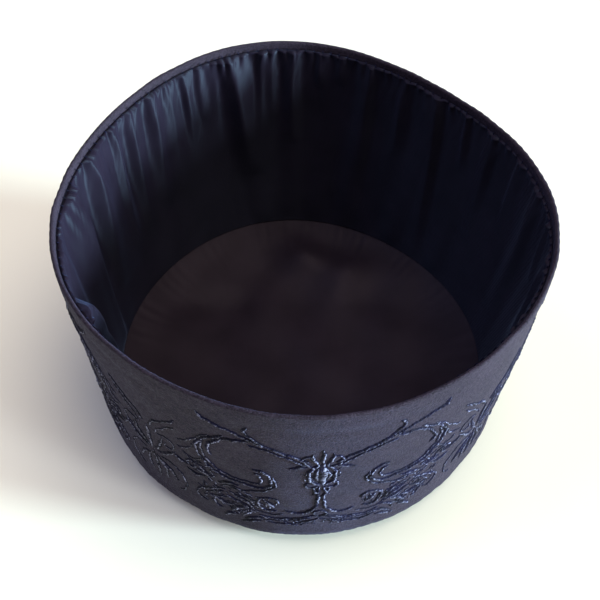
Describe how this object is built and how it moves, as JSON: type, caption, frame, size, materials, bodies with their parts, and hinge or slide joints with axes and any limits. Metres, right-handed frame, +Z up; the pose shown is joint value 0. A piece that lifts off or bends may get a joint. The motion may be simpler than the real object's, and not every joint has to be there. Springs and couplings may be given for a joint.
{
  "type": "skufia",
  "caption": "Soft brimless clergy cap of dark cloth with a turned-in hem, a flat round crown and a gathered satin lining, lying on its crown with the opening up.",
  "frame": {"origin": "on the surface that the cap rests on, under the middle of the rim's bounding rectangle", "axes": "+Z up, from the crown towards the open rim; -Y the front of the cap, +X the side that is at the right of the picture"},
  "size_m": [0.1881, 0.1942, 0.1015],
  "materials": {
    "outer_cloth": "matt fine-woven blue-black cloth with raised tone-on-tone scroll embroidery",
    "lining_satin": "soft-sheen navy-black satin, gathered at the hem"
  },
  "bodies": {
    "root": {"side_band": "outer_cloth", "crown": "outer_cloth", "side_lining": "lining_satin", "crown_lining": "lining_satin"}
  },
  "joints": []
}
